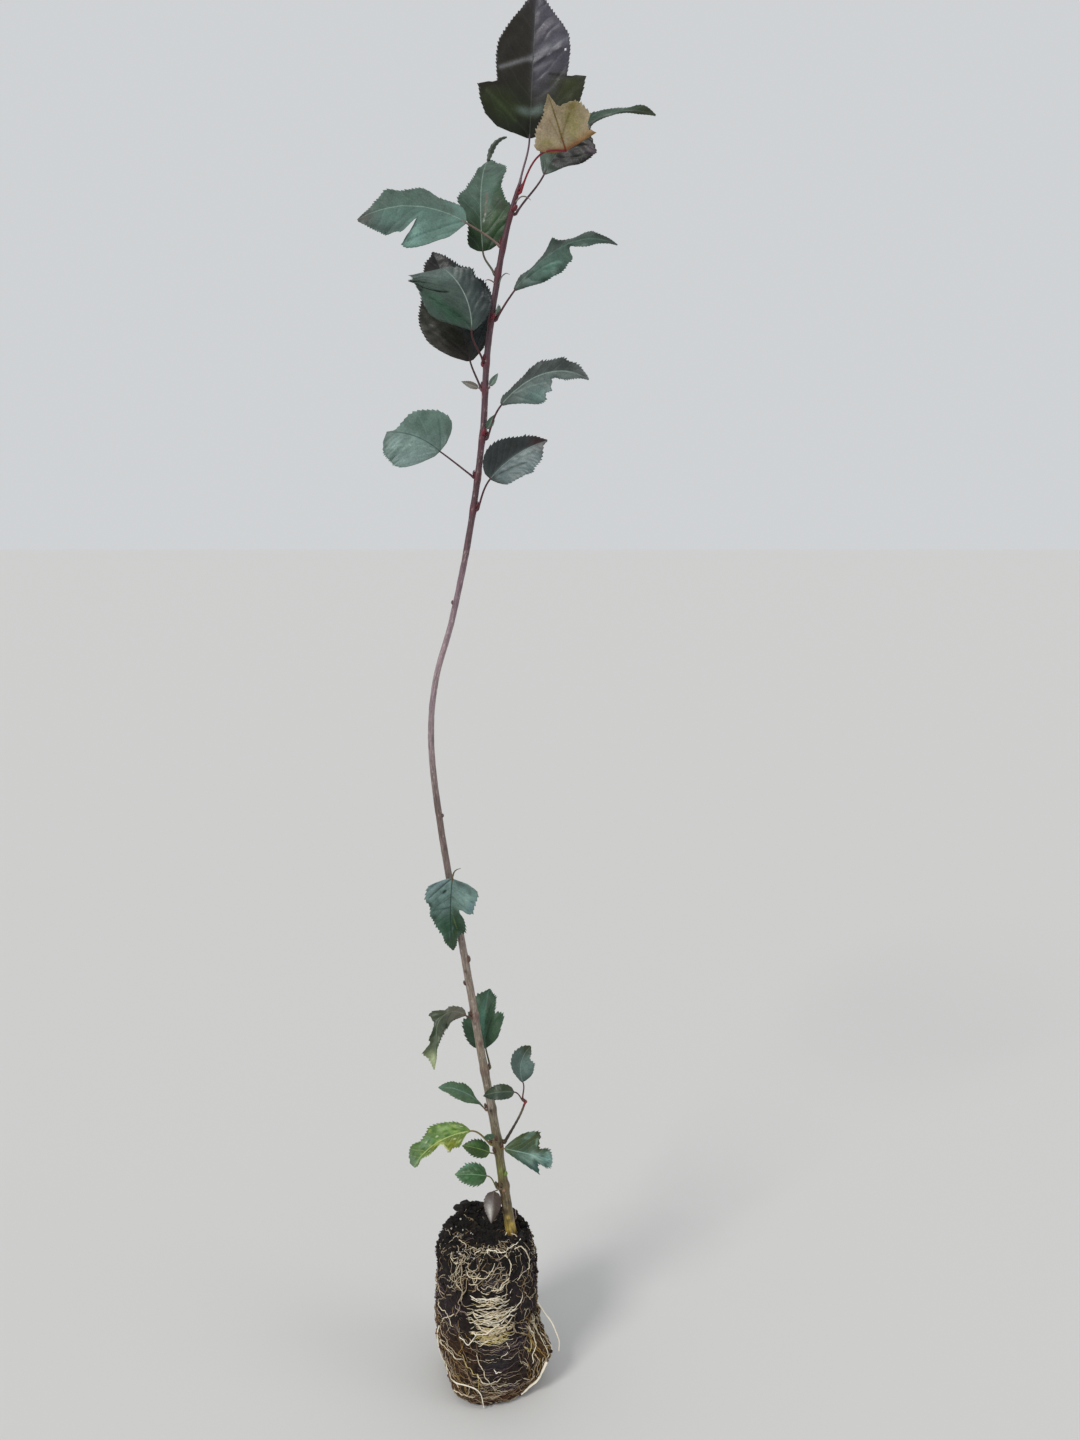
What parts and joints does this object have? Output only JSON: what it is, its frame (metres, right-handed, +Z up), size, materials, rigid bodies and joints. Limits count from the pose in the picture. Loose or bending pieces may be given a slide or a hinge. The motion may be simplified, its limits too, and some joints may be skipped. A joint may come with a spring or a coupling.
{
  "type": "crab apple plug plant",
  "caption": "Young crab apple whip with serrated, lobed leaves on a slender leaning stem, standing on its bare root ball.",
  "frame": {"origin": "middle of the root ball's flat underside, where the plant stands", "axes": "+Z up along the plant, +X to the right and -Y to the front as the plant is seen from its front"},
  "size_m": [0.1534, 0.0787, 0.8006],
  "materials": {
    "root_ball": "matte",
    "pale_roots": "matte",
    "bark": "satin",
    "shoot": "satin",
    "dark_leaf": "satin",
    "green_leaf": "satin",
    "grey_green_leaf": "satin",
    "bronze_leaf": "satin",
    "variegated_leaf": "satin",
    "withered_leaf": "matte"
  },
  "bodies": {
    "root": {"root_ball": "root_ball", "loose_root_left": "pale_roots", "loose_root_right": "pale_roots", "loose_root_thick": "pale_roots", "loose_root_front": "pale_roots", "stem": "bark", "side_shoot": "shoot", "leaf_top": "dark_leaf", "leaf_bronze": "bronze_leaf", "leaf_slim_right": "green_leaf", "leaf_upright": "green_leaf", "leaf_long_left": "grey_green_leaf", "leaf_dark_front": "dark_leaf", "leaf_dark_behind": "dark_leaf", "leaf_high_right": "grey_green_leaf", "leaf_mid_right": "grey_green_leaf", "leaf_round_left": "grey_green_leaf", "leaf_folded_right": "dark_leaf", "leaf_hanging": "grey_green_leaf", "leaf_arching": "dark_leaf", "leaf_behind_stem": "green_leaf", "leaf_small_left": "green_leaf", "leaf_shoot_left": "dark_leaf", "leaf_shoot_top": "grey_green_leaf", "leaf_variegated": "variegated_leaf", "leaf_low_left": "green_leaf", "leaf_tiny_front": "green_leaf", "leaf_low_right": "green_leaf", "leaf_foot_left": "green_leaf", "leaf_withered": "withered_leaf"}
  },
  "joints": []
}
